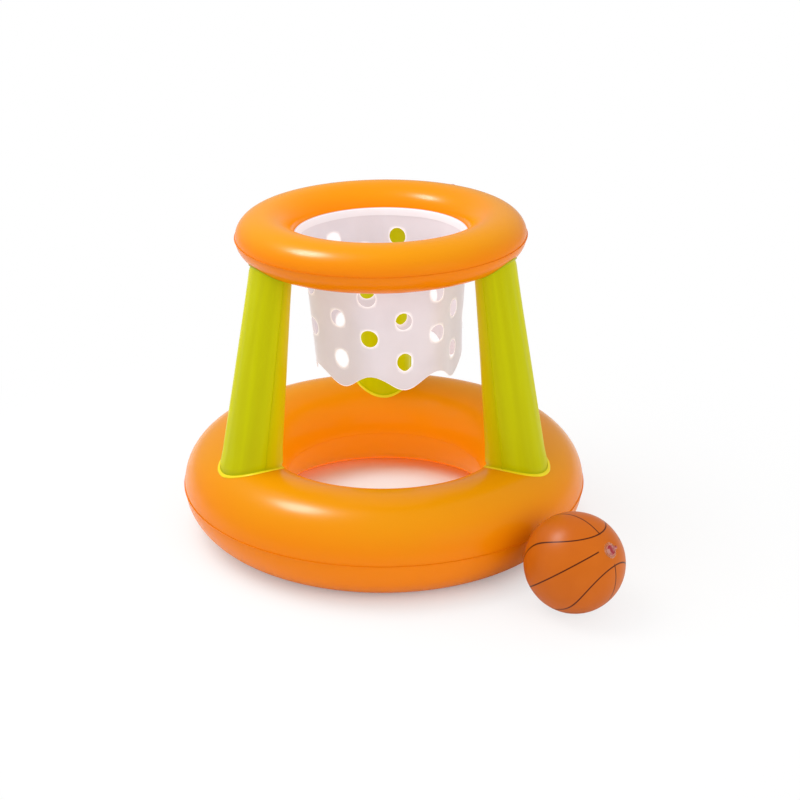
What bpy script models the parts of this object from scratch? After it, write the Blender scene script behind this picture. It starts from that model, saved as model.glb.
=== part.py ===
"""Floating basketball hoop.

An inflated base ring carries three inflated legs and a hoop ring with a punched film net. A small ball lies
beside it.

Metres, Z up. The origin is on the base ring's axis, on the surface that it stands on, and the front faces -Y.
Every inflated piece is a thin skin, open at its seams, that meets its neighbour across one small gap.
"""
import math
from collections import namedtuple

import bmesh
import bpy
from mathutils import Matrix, Vector

# Film and fits
FILM = 0.0003
GAP = 0.0003
SEAM_LIP = 0.0015
SEAM_LIFT = GAP / 2 + FILM
CUT_OVERRUN = 0.008

# Base ring, whose outer radius leaves out its seam's lip
BASE_OUTER_R = 0.335
BASE_HALF_WIDTH = 0.0843
BASE_HALF_HEIGHT = 0.0782
BASE_FLAT_DEPTH = 0.0005
BASE_R = BASE_OUTER_R - BASE_HALF_WIDTH
BASE_Z = BASE_HALF_HEIGHT - BASE_FLAT_DEPTH
BASE_STEPS = 48
BASE_ARC_STEPS = 8

# Hoop ring, which leans to the front and sits a little to the left, as inflated legs let it
HOOP_R = 0.1856
HOOP_HALF_WIDTH = 0.0455
HOOP_HALF_HEIGHT = 0.0363
HOOP_SHIFT = -0.0034
HOOP_Z = 0.4965
HOOP_PITCH = math.radians(1.36)
HOOP_ROLL = math.radians(-0.62)
HOOP_STEPS = 42
HOOP_ARC_STEPS = 7

# Legs: a section's depth is along the radius and its width across it, both from the leg's middle line
LEG_AZIMUTHS = {"left": 210, "right": 330, "back": 90}
LEG_FOOT_INSET = 0.0067
LEG_FOOT_DEPTH = 0.0475
LEG_FOOT_WIDTH = 0.049
LEG_HEAD_OUTSET = 0.014
LEG_HEAD_DEPTH = 0.0287
LEG_HEAD_WIDTH = 0.0466
LEG_FLARE = 0.001
LEG_FLARE_HEIGHT = 0.03
LEG_ROOT_SHARE = 0.45
LEG_PATCH_LIP = 0.003
LEG_ARC_STEPS = 9
LEG_LIFTS = 4
LEG_FOOT_Z = BASE_Z + BASE_HALF_HEIGHT
LEG_HEAD_Z = HOOP_Z - HOOP_HALF_HEIGHT
LEG_ROOT_Z = BASE_Z + BASE_HALF_HEIGHT * LEG_ROOT_SHARE

# Net: a film sleeve with staggered holes and a scalloped hem
NET_COLUMNS = 14
NET_CELL_STEPS = 3
NET_ROWS = 9
NET_FIRST_COLUMN = math.radians(14.2)
NET_TOP_R = (HOOP_R - HOOP_HALF_WIDTH - SEAM_LIP) * math.cos(math.pi / HOOP_STEPS) - GAP
NET_DRAW_IN = 0.0195
NET_RISE = 0.0025
NET_LEAN = 0.0095
NET_COLLAR = 0.0116
NET_LENGTH = 0.2145
NET_SCALLOP = 0.012
NET_FLUTE = 0.0045
NET_HOLE_R = 0.014
NET_STRIP_WIDTH = 0.005
NET_STEPS = NET_COLUMNS * NET_CELL_STEPS
NET_ROW_HEIGHT = (NET_LENGTH - NET_COLLAR) / NET_ROWS

# Ball, which stands beside the ring at the front right
BALL_R = 0.0759
BALL_FLAT_DEPTH = 0.0005
BALL_AZIMUTH = math.radians(-48.5)
BALL_STANDOFF = 0.0162
BALL_STEPS = 24
BALL_ARC_STEPS = 11
BALL_PLACE_R = BASE_OUTER_R + BALL_STANDOFF + BALL_R

# Air valve: a flange welded over a hole in the skin, a stem that pushes in and pulls out, and a plug
VALVE_FLANGE_R = 0.012
STEM_R = 0.0052
STEM_BORE_R = 0.0036
STEM_LENGTH = 0.015
STEM_STOP_R = 0.0065
STEM_STOP_HEIGHT = 0.0015
COLLAR_R = 0.0085
COLLAR_HEIGHT = 0.001
PLUG_LENGTH = 0.008
CAP_R = 0.0075
CAP_HEIGHT = 0.0012
TAB_LENGTH = 0.006
TAB_WIDTH = 0.005
VALVE_STEPS = 12
VALVE_HOLE_R = STEM_R + GAP
COLLAR_SEAT = GAP + FILM + GAP
BASE_VALVE_AZIMUTH = math.radians(60)
BASE_VALVE_ELEVATION = math.radians(34)
HOOP_VALVE_AZIMUTH = math.radians(60)
HOOP_VALVE_ELEVATION = math.radians(39)
LEG_VALVE_RISE = 0.018
BALL_VALVE_AZIMUTH = math.radians(-43.7)
BALL_VALVE_ELEVATION = math.radians(33.7)

Ring = namedtuple("Ring", "radius half_width half_height flat_depth steps arc_steps place")


def clear_scene():
    for item in list(bpy.data.objects):
        bpy.data.objects.remove(item)


def new_collection(name):
    made = bpy.data.collections.new(name)
    bpy.context.scene.collection.children.link(made)
    return made


def new_material(name, colour, roughness, alpha=1.0):
    made = bpy.data.materials.new(name)
    made.use_nodes = True
    shader = made.node_tree.nodes["Principled BSDF"]
    shader.inputs["Base Color"].default_value = (*colour, 1.0)
    shader.inputs["Roughness"].default_value = roughness
    shader.inputs["Metallic"].default_value = 0.0
    shader.inputs["Alpha"].default_value = alpha
    made.diffuse_color = (*colour, alpha)
    return made


def new_place(name, matrix, parent=None):
    """An empty that carries pieces."""
    made = bpy.data.objects.new(name, None)
    PARTS.objects.link(made)
    made.parent = parent
    made.matrix_local = matrix
    return made


def new_piece(name, mesh, place, material):
    """A named piece of the object, or a hidden cutter where it has no material."""
    made = bpy.data.objects.new(name, mesh)
    (PARTS if material else CUTTERS).objects.link(made)
    made.parent = place
    if material:
        mesh.materials.append(material)
    else:
        made.hide_render = True
        made.display_type = "WIRE"
    return made


def boolean(piece, cutter, operation):
    step = piece.modifiers.new(operation.title(), "BOOLEAN")
    step.operation = operation
    step.object = cutter


def round_off(piece, degrees=40):
    piece.data.shade_smooth()
    piece.data.set_sharp_from_angle(angle=math.radians(degrees))


def turned(name, profiles, steps, place, material=None):
    """Profiles of (radius, height), each open or closed, spun about the place's Z axis."""
    mesh = bpy.data.meshes.new(name)
    bm = bmesh.new()
    for points, closed in profiles:
        verts = [bm.verts.new((radius, 0, height)) for radius, height in points]
        for first, second in zip(verts, verts[1:] + verts[:1] * closed):
            bm.edges.new((first, second))
    bm.to_mesh(mesh)
    bm.free()
    made = new_piece(name, mesh, place, material)
    screw = made.modifiers.new("Screw", "SCREW")
    screw.axis = "Z"
    screw.angle = math.tau
    screw.steps = screw.render_steps = steps
    screw.use_merge_vertices = True
    screw.merge_threshold = FILM / 20
    return made


def solidify(piece, thickness, offset):
    wall = piece.modifiers.new("Solidify", "SOLIDIFY")
    wall.thickness = thickness
    wall.offset = offset
    wall.use_even_offset = True


def offset_path(points, distance):
    """An open path of (radius, height) moved to its left by distance, with mitred corners."""
    normals = []
    for (r0, z0), (r1, z1) in zip(points, points[1:]):
        along = Vector((r1 - r0, z1 - z0)).normalized()
        normals.append(Vector((-along.y, along.x)))
    moved = []
    for index, point in enumerate(points):
        before, after = normals[max(index - 1, 0)], normals[min(index, len(normals) - 1)]
        middle = (before + after).normalized()
        moved.append(tuple(Vector(point) + middle * (distance / middle.dot(before))))
    return moved


def film_profile(path, inner, outer):
    """A closed profile between two offsets of a path, run clockwise."""
    return offset_path(path, outer) + offset_path(path, inner)[::-1]


def skin_arc(ring, side):
    """A skin's arc from the seam at the hole to the outer seam, with a flat where the ring stands."""
    rise = ring.half_height - SEAM_LIFT
    crown = math.pi / 2
    if side < 0 and ring.flat_depth:
        crown = math.asin(1 - ring.flat_depth / rise)
        half = ring.arc_steps // 2
        angles = [math.pi - crown * step / half for step in range(half + 1)]
        angles += [crown * (1 - step / half) for step in range(half + 1)]
    else:
        angles = [math.pi * (1 - step / ring.arc_steps) for step in range(ring.arc_steps + 1)]
    return [(ring.radius + ring.half_width * math.cos(angle), side * (SEAM_LIFT + rise * math.sin(angle)))
            for angle in angles]


def skin_path(ring, side):
    """The outer face of a skin, with a weld lip at each seam, run so that outside is on its left."""
    arc = skin_arc(ring, side)
    inner_lip = (arc[0][0] - SEAM_LIP, arc[0][1])
    outer_lip = (arc[-1][0] + SEAM_LIP, arc[-1][1])
    path = [inner_lip, *arc, outer_lip]
    return path if side > 0 else path[::-1]


def ring_skin(name, ring, side, material):
    profile = film_profile(skin_path(ring, side), -FILM, 0)
    made = turned(name, [(profile, True)], ring.steps, ring.place, material)
    round_off(made)
    return made


def ring_patch(name, ring, side, cutter, material):
    """A film patch that follows a skin, one gap off it, inside a cutter's outline."""
    arc = skin_arc(ring, side)[1:-1]
    arc = arc if side > 0 else arc[::-1]
    made = turned(name, [(film_profile(arc, GAP, GAP + FILM), True)], ring.steps, ring.place, material)
    boolean(made, cutter, "INTERSECT")
    round_off(made)
    return made


def ring_envelope(name, ring):
    """The space that a ring and the patches on it take, with one gap round them."""
    upper = offset_path(skin_arc(ring, 1), GAP + FILM + GAP)
    lower = offset_path(skin_arc(ring, -1)[::-1], GAP + FILM + GAP)
    return turned(name, [(upper + lower, True)], ring.steps, ring.place)


def leg_share(height):
    return (height - LEG_FOOT_Z) / (LEG_HEAD_Z - LEG_FOOT_Z)


def leg_section(height, grow=0.0):
    """Middle radius, depth and width of a leg's section at a height."""
    share = leg_share(height)
    flare = LEG_FLARE * min(1.0, max(0.0, 1 - (height - LEG_FOOT_Z) / LEG_FLARE_HEIGHT))
    foot_r, head_r = BASE_R - LEG_FOOT_INSET, HOOP_R + LEG_HEAD_OUTSET
    middle = foot_r + (head_r - foot_r) * share
    depth = LEG_FOOT_DEPTH + (LEG_HEAD_DEPTH - LEG_FOOT_DEPTH) * share + flare + grow
    width = LEG_FOOT_WIDTH + (LEG_HEAD_WIDTH - LEG_FOOT_WIDTH) * share + flare + grow
    return middle, depth, width


def leg_levels():
    """Heights of a leg's sections, from inside the base ring to inside the hoop ring."""
    first = LEG_FOOT_Z + LEG_FLARE_HEIGHT
    lift = (HOOP_Z - first) / LEG_LIFTS
    return [LEG_ROOT_Z, LEG_FOOT_Z] + [first + lift * step for step in range(LEG_LIFTS + 1)]


def leg_panel(name, facing, place, material, grow=0.0):
    """Half of a leg's wall, with a weld lip along each seam. Facing is 1 for the outer half, -1 inside."""
    levels = leg_levels()
    across = LEG_ARC_STEPS + 2
    mesh = bpy.data.meshes.new(name)
    bm = bmesh.new()
    bmesh.ops.create_grid(bm, x_segments=across, y_segments=len(levels) - 1, size=1)
    for vert in bm.verts:
        column = round((vert.co.x + 1) / 2 * across)
        level = levels[round((vert.co.y + 1) / 2 * (len(levels) - 1))]
        middle, depth, width = leg_section(level, grow)
        turn = math.pi * (min(max(column - 1, 0), LEG_ARC_STEPS) / LEG_ARC_STEPS - 0.5)
        lip = SEAM_LIP * ((column == across) - (column == 0))
        out = SEAM_LIFT + depth * math.cos(turn)
        side = width * math.sin(turn) + lip
        vert.co = (middle + facing * out, facing * side, level)
    bm.to_mesh(mesh)
    bm.free()
    made = new_piece(name, mesh, place, material)
    solidify(made, FILM, 1 if grow else -1)
    round_off(made)
    return made


def leg_plug(name, place, lip):
    """A solid of a leg's outline, larger by a lip all round, as a cutter."""
    mesh = bpy.data.meshes.new(name)
    bm = bmesh.new()
    sides = 2 * LEG_ARC_STEPS
    bmesh.ops.create_cone(bm, cap_ends=True, segments=sides, radius1=1, radius2=1, depth=2)
    for vert in bm.verts:
        height = LEG_ROOT_Z if vert.co.z < 0 else HOOP_Z
        middle, depth, width = leg_section(height, lip)
        vert.co = (middle + vert.co.x * depth, vert.co.y * width, height)
    bm.to_mesh(mesh)
    bm.free()
    return new_piece(name, mesh, place, None)


def net_angle(column_steps):
    """Angle about Z, where a column of the film's grid lies, counted from the first column's edge."""
    return NET_FIRST_COLUMN - math.pi / 2 + math.tau * (column_steps / NET_STEPS - 0.5 / NET_COLUMNS)


def net_wave(steps):
    """The flutes' height, 1 where a column of three holes lies and -1 where a column of two does."""
    return math.cos(math.tau * (steps / NET_STEPS - 0.5 / NET_COLUMNS) * NET_COLUMNS / 2)


def net_point(steps, drop, inset=0.0):
    """A point of the net's outer face. The top follows the hoop ring's tilt, the rest hangs straight."""
    angle = net_angle(steps)
    fall = min(max(drop / NET_LENGTH, 0.0), 1.0)
    flute = NET_FLUTE * net_wave(steps) * math.sin(math.pi * min(fall, 0.5))
    radius = NET_TOP_R - NET_DRAW_IN * math.sqrt(fall) - flute - inset
    straight = Vector((radius * math.cos(angle) + NET_LEAN * fall, radius * math.sin(angle), NET_RISE - drop))
    return HOOP_TILT @ straight * (1 - fall) ** 2 + straight * (1 - (1 - fall) ** 2)


def net_hem(steps):
    """How far below the seam the scalloped hem hangs."""
    return NET_LENGTH + NET_SCALLOP * net_wave(steps)


def cell_centres():
    """Middle of each hole in grid steps: (column steps, row steps up from the hem), staggered by two rows."""
    for column in range(NET_COLUMNS):
        bottom = 2 * (column % 2)
        for row in range(bottom, NET_ROWS - NET_CELL_STEPS + 1, NET_CELL_STEPS):
            yield (column + 0.5) * NET_CELL_STEPS, row + NET_CELL_STEPS / 2


def net_sheet(bm):
    """The flat film, in grid steps: a lattice where each hole's cell becomes a ring round an open hole."""
    rows = NET_ROWS + 1
    bmesh.ops.create_grid(bm, x_segments=NET_STEPS, y_segments=rows, size=1)
    for vert in bm.verts:
        vert.co = (round((vert.co.x + 1) / 2 * NET_STEPS), round((vert.co.y + 1) / 2 * rows), 0)
    pitch = math.tau * (NET_TOP_R - NET_DRAW_IN / 2) / NET_STEPS
    half = NET_CELL_STEPS / 2
    turn = math.tau / (4 * NET_CELL_STEPS)
    for x, y in cell_centres():
        middles = {face: face.calc_center_median() for face in bm.faces}
        cell = [face for face, middle in middles.items()
                if abs(middle.x - x) < half and abs(middle.y - y) < half]
        hole = bmesh.ops.dissolve_faces(bm, faces=cell)["region"][0]
        bmesh.ops.inset_individual(bm, faces=[hole], thickness=half / 4)
        for vert in hole.verts:
            angle = (math.floor(math.atan2(vert.co.y - y, vert.co.x - x) / turn) + 0.5) * turn
            along = math.cos(angle) * NET_HOLE_R / pitch
            up = math.sin(angle) * NET_HOLE_R / NET_ROW_HEIGHT
            vert.co = (x + along, y + up, 0)
        bmesh.ops.delete(bm, geom=[hole], context="FACES_ONLY")


def roll_net(bm, inset=0.0):
    """Rolls the flat film into a sleeve, scallops its hem and welds its ends."""
    for vert in bm.verts:
        steps, up = vert.co.x, vert.co.y
        hem = net_hem(steps)
        if up > NET_ROWS:
            drop = 0.0
        else:
            drop = NET_COLLAR + (NET_ROWS - up) * NET_ROW_HEIGHT
            drop += (hem - NET_LENGTH) * max(0.0, 1 - up)
        vert.co = net_point(steps, drop, inset)
    bmesh.ops.remove_doubles(bm, verts=bm.verts, dist=FILM / 20)


def net_sleeve(name, place, material, inset=0.0):
    """The punched film, rolled, with its outer face inset from the net's."""
    mesh = bpy.data.meshes.new(name)
    bm = bmesh.new()
    net_sheet(bm)
    roll_net(bm, inset)
    bm.to_mesh(mesh)
    bm.free()
    made = new_piece(name, mesh, place, material)
    solidify(made, FILM, -1)
    round_off(made)
    return made


def net_lining(name, place, material, inset, drops):
    """A plain sleeve of film inside the net, between two drops below its top."""
    mesh = bpy.data.meshes.new(name)
    bm = bmesh.new()
    bmesh.ops.create_grid(bm, x_segments=NET_STEPS, y_segments=len(drops) - 1, size=1)
    for vert in bm.verts:
        steps = round((vert.co.x + 1) / 2 * NET_STEPS)
        drop = drops[round((1 - vert.co.y) / 2 * (len(drops) - 1))]
        vert.co = net_point(steps, drop, inset)
    bmesh.ops.remove_doubles(bm, verts=bm.verts, dist=FILM / 20)
    bm.to_mesh(mesh)
    bm.free()
    made = new_piece(name, mesh, place, material)
    solidify(made, FILM, -1)
    round_off(made)
    return made


def box_cutter(name, size, place, location):
    mesh = bpy.data.meshes.new(name)
    bm = bmesh.new()
    bmesh.ops.create_cube(bm, size=1)
    bmesh.ops.scale(bm, vec=size, verts=bm.verts)
    bmesh.ops.translate(bm, vec=location, verts=bm.verts)
    bm.to_mesh(mesh)
    bm.free()
    return new_piece(name, mesh, place, None)


def facet_place(ring, azimuth, elevation):
    """Frame on the middle of a facet of a ring's upper skin, with Z outwards, nearest to the angles given."""
    turn = math.tau / ring.steps
    azimuth = (math.floor(azimuth / turn) + 0.5) * turn
    arc = skin_arc(ring, 1)
    index = ring.arc_steps - 1 - math.floor(elevation / (math.pi / ring.arc_steps))
    (r0, z0), (r1, z1) = arc[index], arc[index + 1]
    middle = Vector(((r0 + r1) / 2 * math.cos(turn / 2), 0, (z0 + z1) / 2))
    along = Vector(((r1 - r0) * math.cos(turn / 2), 0, z1 - z0)).normalized()
    normal = Vector((-along.z, 0, along.x))
    return Matrix.Rotation(azimuth, 4, "Z") @ frame_on(middle, normal)


def frame_on(point, normal):
    """Frame at a point in the XZ plane, with Z along the normal and X level."""
    side = Vector((0, 1, 0))
    return Matrix.Translation(point) @ Matrix((side, normal.cross(side), normal)).transposed().to_4x4()


def leg_valve_place():
    """Frame on the middle of a leg's inner panel, above its flare, with Z outwards and X down the leg."""
    low, high = leg_levels()[2:4]
    points = []
    for level in (low, high):
        middle, depth, width = leg_section(level)
        half_turn = math.pi / LEG_ARC_STEPS / 2
        points.append(Vector((middle - SEAM_LIFT - depth * math.cos(half_turn), 0, level)))
    along = (points[1] - points[0]).normalized()
    upright = frame_on(points[0] + along * LEG_VALVE_RISE, Vector((-along.z, 0, along.x)))
    return upright @ Matrix.Rotation(math.pi / 2, 4, "Z")


def ball_arc():
    """The ball's outline from its top to the flat that it rests on, as (radius, height) above the ground."""
    rest = math.acos(1 - BALL_FLAT_DEPTH / BALL_R)
    points = []
    for step in range(BALL_ARC_STEPS + 1):
        angle = (math.pi - rest) * step / BALL_ARC_STEPS
        points.append((BALL_R * math.sin(angle), BALL_R * (1 + math.cos(angle)) - BALL_FLAT_DEPTH))
    return points


def ball_shell(name, material, inner, outer):
    """The ball's skin between two offsets, as an outer and an inner face."""
    arc = ball_arc()
    outside = offset_path(arc, outer)
    inside = offset_path(arc, inner)
    floor = FILM if inner < 0 else -outer
    outside = [(0, outside[0][1])] + outside[1:-1] + [(outside[-1][0], min(-outer, 0)), (0, min(-outer, 0))]
    inside = [(0, inside[0][1])] + inside[1:-1] + [(inside[-1][0], floor), (0, floor)]
    return turned(name, [(outside, False), (inside[::-1], False)], BALL_STEPS, BALL, material)


def ball_valve_place():
    """Frame on the middle of the ball's facet that holds the valve, with Z outwards."""
    turn = math.tau / BALL_STEPS
    arc = ball_arc()
    index = math.floor((math.pi / 2 - BALL_VALVE_ELEVATION) / (math.pi / BALL_ARC_STEPS))
    (r0, z0), (r1, z1) = arc[index], arc[index + 1]
    middle = Vector(((r0 + r1) / 2 * math.cos(turn / 2), 0, (z0 + z1) / 2))
    along = Vector(((r1 - r0) * math.cos(turn / 2), 0, z1 - z0)).normalized()
    return Matrix.Rotation(turn / 2, 4, "Z") @ frame_on(middle, Vector((-along.z, 0, along.x)))


def valve_cutters(name, place):
    """The hole that a valve's stem goes through, and the ring that its flange is cut to."""
    reach = CUT_OVERRUN
    bore = [(0, reach), (VALVE_HOLE_R, reach), (VALVE_HOLE_R, -reach), (0, -reach)]
    hole = turned(name + "_hole_cutter", [(bore, False)], VALVE_STEPS, place)
    washer = [(VALVE_HOLE_R, reach), (VALVE_FLANGE_R, reach),
              (VALVE_FLANGE_R, -reach), (VALVE_HOLE_R, -reach)]
    flange = turned(name + "_flange_cutter", [(washer, True)], VALVE_STEPS, place)
    return hole, flange


def valve_stem(name, place, material):
    """The tube that is blown into: a collar over the flange, a bore, and a stop at its inner end."""
    top, bottom = COLLAR_SEAT + COLLAR_HEIGHT, COLLAR_SEAT - STEM_LENGTH
    profile = [(STEM_BORE_R, top), (COLLAR_R, top), (COLLAR_R, COLLAR_SEAT), (STEM_R, COLLAR_SEAT),
               (STEM_R, bottom + STEM_STOP_HEIGHT), (STEM_STOP_R, bottom + STEM_STOP_HEIGHT),
               (STEM_STOP_R, bottom), (STEM_BORE_R, bottom)]
    made = turned(name, [(profile, True)], VALVE_STEPS, place, material)
    round_off(made)
    return made


def valve_plug(name, place, material):
    """The stopper: a pin in the stem's bore under a cap with a pull tab."""
    under = COLLAR_SEAT + COLLAR_HEIGHT + GAP
    top = under + CAP_HEIGHT
    pin_r = STEM_BORE_R - GAP
    profile = [(0, top), (CAP_R, top), (CAP_R, under), (pin_r, under), (pin_r, under - PLUG_LENGTH),
               (0, under - PLUG_LENGTH)]
    made = turned(name, [(profile, False)], VALVE_STEPS, place, material)
    middle = (CAP_R + TAB_LENGTH / 2 - CAP_HEIGHT / 2, 0, under + CAP_HEIGHT / 2)
    tab = box_cutter(name + "_tab", (TAB_LENGTH + CAP_HEIGHT, TAB_WIDTH, CAP_HEIGHT / 2), place, middle)
    boolean(made, tab, "UNION")
    round_off(made)
    return made


def build_rings():
    """Both rings, each an upper and a lower skin, with a valve in the upper one."""
    placed = (("base_ring", BASE, BASE_VALVE_AZIMUTH, BASE_VALVE_ELEVATION),
              ("hoop_ring", HOOP, HOOP_VALVE_AZIMUTH, HOOP_VALVE_ELEVATION))
    for name, ring, azimuth, elevation in placed:
        upper = ring_skin(name + "_upper_skin", ring, 1, ORANGE)
        ring_skin(name + "_lower_skin", ring, -1, ORANGE)
        place = new_place(name + "_valve_place", facet_place(ring, azimuth, elevation), ring.place)
        hole, flange = valve_cutters(name, place)
        boolean(upper, hole, "DIFFERENCE")
        ring_patch(name + "_valve_flange", ring, 1, flange, CLEAR)
        valve_stem(name + "_valve_stem", place, CLEAR)
        valve_plug(name + "_valve_plug", place, CLEAR)


def build_leg(side, azimuth, base_envelope, hoop_envelope):
    """One leg: two panels, a patch on each ring that its ends are welded to, and a valve facing the axis."""
    name = side + "_leg"
    place = new_place(name + "_place", Matrix.Rotation(math.radians(azimuth), 4, "Z"))
    outer = leg_panel(name + "_outer_panel", 1, place, GREEN)
    inner = leg_panel(name + "_inner_panel", -1, place, GREEN)
    for panel in (outer, inner):
        boolean(panel, base_envelope, "DIFFERENCE")
        boolean(panel, hoop_envelope, "DIFFERENCE")
    outline = leg_plug(name + "_patch_cutter", place, LEG_PATCH_LIP)
    ring_patch(name + "_foot_patch", BASE, 1, outline, GREEN)
    ring_patch(name + "_head_patch", HOOP, -1, outline, GREEN)
    valve_place = new_place(name + "_valve_place", leg_valve_place(), place)
    hole, flange_cutter = valve_cutters(name, valve_place)
    boolean(inner, hole, "DIFFERENCE")
    flange = leg_panel(name + "_valve_flange", -1, place, CLEAR, GAP)
    boolean(flange, flange_cutter, "INTERSECT")
    valve_stem(name + "_valve_stem", valve_place, CLEAR)
    valve_plug(name + "_valve_plug", valve_place, CLEAR)


def build_net():
    """The punched film, its doubled top band and the weld strip where its ends meet at the back."""
    place = new_place("net_place", Matrix.Translation((HOOP_SHIFT, 0, HOOP_Z)))
    net_sleeve("net_film", place, NET)
    inset = FILM + GAP
    net_lining("net_top_band", place, NET, inset, [0, NET_COLLAR])
    strip = net_sleeve("net_seam_strip", place, NET, inset)
    strip_place = new_place("net_strip_place", Matrix.Rotation(net_angle(NET_STEPS / 2), 4, "Z"), place)
    length = NET_LENGTH - NET_COLLAR - NET_SCALLOP
    middle = -NET_COLLAR - NET_SCALLOP / 2 - length / 2
    size = (NET_TOP_R, NET_STRIP_WIDTH, length)
    cutter = box_cutter("net_strip_cutter", size, strip_place, (NET_TOP_R, 0, middle))
    boolean(strip, cutter, "INTERSECT")


def build_ball():
    skin = ball_shell("ball_skin", BALL_ORANGE, -FILM, 0)
    place = new_place("ball_valve_place", ball_valve_place(), BALL)
    hole, flange_cutter = valve_cutters("ball", place)
    boolean(skin, hole, "DIFFERENCE")
    round_off(skin)
    flange = ball_shell("ball_valve_flange", CLEAR, GAP, GAP + FILM)
    boolean(flange, flange_cutter, "INTERSECT")
    round_off(flange)
    valve_stem("ball_valve_stem", place, CLEAR)
    valve_plug("ball_valve_plug", place, CLEAR)


clear_scene()
PARTS = new_collection("floating_basketball_hoop")
CUTTERS = new_collection("cutters")
ORANGE = new_material("orange_vinyl", (0.92, 0.28, 0.01), 0.3)
GREEN = new_material("lime_vinyl", (0.53, 0.6, 0.005), 0.35)
NET = new_material("frosted_film", (0.85, 0.8, 0.8), 0.45, 0.8)
CLEAR = new_material("clear_vinyl", (0.85, 0.8, 0.8), 0.2, 0.7)
BALL_ORANGE = new_material("tan_vinyl", (0.6, 0.14, 0.02), 0.4)

HOOP_TILT = Matrix.Rotation(HOOP_PITCH, 3, "X") @ Matrix.Rotation(HOOP_ROLL, 3, "Y")
BASE = Ring(BASE_R, BASE_HALF_WIDTH, BASE_HALF_HEIGHT, BASE_FLAT_DEPTH, BASE_STEPS, BASE_ARC_STEPS,
            new_place("base_ring_place", Matrix.Translation((0, 0, BASE_Z))))
HOOP = Ring(HOOP_R, HOOP_HALF_WIDTH, HOOP_HALF_HEIGHT, 0, HOOP_STEPS, HOOP_ARC_STEPS,
            new_place("hoop_ring_place",
                      Matrix.Translation((HOOP_SHIFT, 0, HOOP_Z)) @ HOOP_TILT.to_4x4()))
ball_turn = BALL_VALVE_AZIMUTH - BALL_AZIMUTH - math.pi / BALL_STEPS
BALL = new_place("ball_place", Matrix.Rotation(BALL_AZIMUTH, 4, "Z")
                 @ Matrix.Translation((BALL_PLACE_R, 0, 0)) @ Matrix.Rotation(ball_turn, 4, "Z"))

build_rings()
envelopes = ring_envelope("base_envelope", BASE), ring_envelope("hoop_envelope", HOOP)
for leg_side, leg_azimuth in LEG_AZIMUTHS.items():
    build_leg(leg_side, leg_azimuth, *envelopes)
build_net()
build_ball()
bpy.context.view_layer.update()
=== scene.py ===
"""Floating basketball hoop: the looks of an inflated pool hoop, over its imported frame.

Metres, Z up, front at -Y.
"""

import math
from collections import namedtuple

import bmesh
import bpy
from mathutils import Matrix, Vector, noise


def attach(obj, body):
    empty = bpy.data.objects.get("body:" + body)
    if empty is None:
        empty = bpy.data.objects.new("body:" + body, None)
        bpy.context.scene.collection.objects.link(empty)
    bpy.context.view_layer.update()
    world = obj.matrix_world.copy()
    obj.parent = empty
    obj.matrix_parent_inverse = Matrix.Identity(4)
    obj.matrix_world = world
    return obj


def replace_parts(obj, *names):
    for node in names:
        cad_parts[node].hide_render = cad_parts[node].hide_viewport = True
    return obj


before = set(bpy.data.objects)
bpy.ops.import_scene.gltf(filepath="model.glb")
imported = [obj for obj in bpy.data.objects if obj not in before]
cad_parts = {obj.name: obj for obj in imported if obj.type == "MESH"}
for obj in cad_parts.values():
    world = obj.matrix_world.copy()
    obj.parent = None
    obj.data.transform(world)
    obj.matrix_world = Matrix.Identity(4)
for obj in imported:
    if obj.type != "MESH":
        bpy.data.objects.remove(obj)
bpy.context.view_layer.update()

# Film
FILM = 0.0003
SEAM_LIP = 0.0015
SEAM_LIFT = 0.00036
MERGE = 0.00001

# Rings, as in the frame
Ring = namedtuple("Ring", "radius half_width half_height place")
HOOP_LEAN = (math.radians(1.36), math.radians(-0.62), 0)
HOOP_CENTRE = Vector((-0.0034, 0, 0.4965))
HOOP_TILT = Matrix.Rotation(HOOP_LEAN[0], 4, "X") @ Matrix.Rotation(HOOP_LEAN[1], 4, "Y")
BASE = Ring(0.2507, 0.0843, 0.0782, Matrix.Translation((0, 0, 0.0777)))
HOOP = Ring(0.1856, 0.0455, 0.0363, Matrix.Translation(HOOP_CENTRE) @ HOOP_TILT)
BASE_FLAT = 0.0005
RING_STEPS = 192
RING_SECTION_STEPS = 44

# Legs, as in the frame but for a closer flare: a section is its middle's radius, half depth and half width
LEG_AZIMUTHS = {"left": 210, "right": 330, "back": 90}
LEG_ROOT_Z, LEG_FOOT_Z, LEG_HEAD_Z = 0.1129, 0.1559, 0.4602
LEG_FOOT = (0.244, 0.0475, 0.049)
LEG_HEAD = (0.1996, 0.0287, 0.0466)
LEG_FLARE, LEG_FLARE_HEIGHT = 0.0016, 0.025
LEG_BUCKLE, LEG_FINE_BUCKLE, LEG_BUCKLE_FADE = 0.0011, 0.0006, 0.03
LEG_VALVE_Z = 0.2038

# Creases across a leg: how deep, how far from its end and how wide
FOOT_CREASE = (0.0016, 0.004, 0.0035)
HEAD_CREASE = (0.001, 0.003, 0.003)

# Where a leg meets a ring: a height inside that ring, one clear of it, and the width of the welded rim
LegEnd = namedtuple("LegEnd", "ring inside clear rim")
LEG_END_REACH, LEG_END_GAP = 0.02, 0.0004
LEG_ENDS = {"foot": LegEnd(BASE, LEG_ROOT_Z, LEG_FOOT_Z + LEG_END_REACH, 0.0031),
            "head": LegEnd(HOOP, HOOP.place.translation.z, LEG_HEAD_Z - LEG_END_REACH, 0.0018)}
RIM_TUCK, RIM_HEIGHT, RIM_WAVE = 0.001, 0.0011, 0.12

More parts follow.
